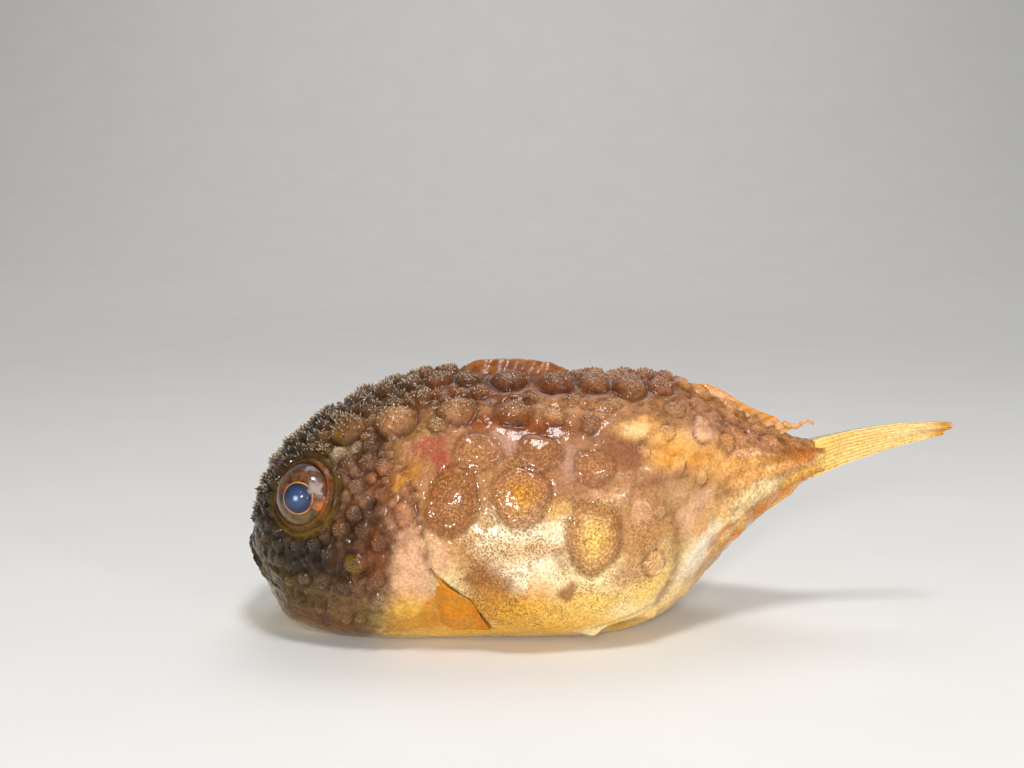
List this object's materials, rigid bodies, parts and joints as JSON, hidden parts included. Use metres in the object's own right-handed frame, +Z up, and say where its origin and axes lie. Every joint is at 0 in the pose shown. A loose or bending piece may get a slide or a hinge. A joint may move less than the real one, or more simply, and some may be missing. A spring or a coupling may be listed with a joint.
{
  "type": "newfoundland spiny lumpsucker",
  "caption": "Small globe-shaped sea fish with bony spiny tubercles, a belly sucker and folded fins, at rest on its belly.",
  "frame": {"origin": "on the floor, under the middle of the bounding box", "axes": "+X towards the tail fin, -X towards the snout, -Y the fish's left side, +Z up"},
  "size_m": [0.0408, 0.0158, 0.0151],
  "materials": {
    "head_skin": "wet",
    "trunk_skin": "wet",
    "tail_skin": "wet",
    "eye": "glossy",
    "sucker": "wet",
    "fin": "wet"
  },
  "bodies": {
    "root": {"head": "head_skin", "trunk": "trunk_skin", "tail": "tail_skin", "eye_left": "eye", "eye_right": "eye", "sucker_disc": "sucker", "first_dorsal_fin": "fin", "second_dorsal_fin": "fin", "anal_fin": "fin", "caudal_fin": "fin", "pectoral_fin_left": "fin", "pectoral_fin_right": "fin"}
  },
  "joints": []
}
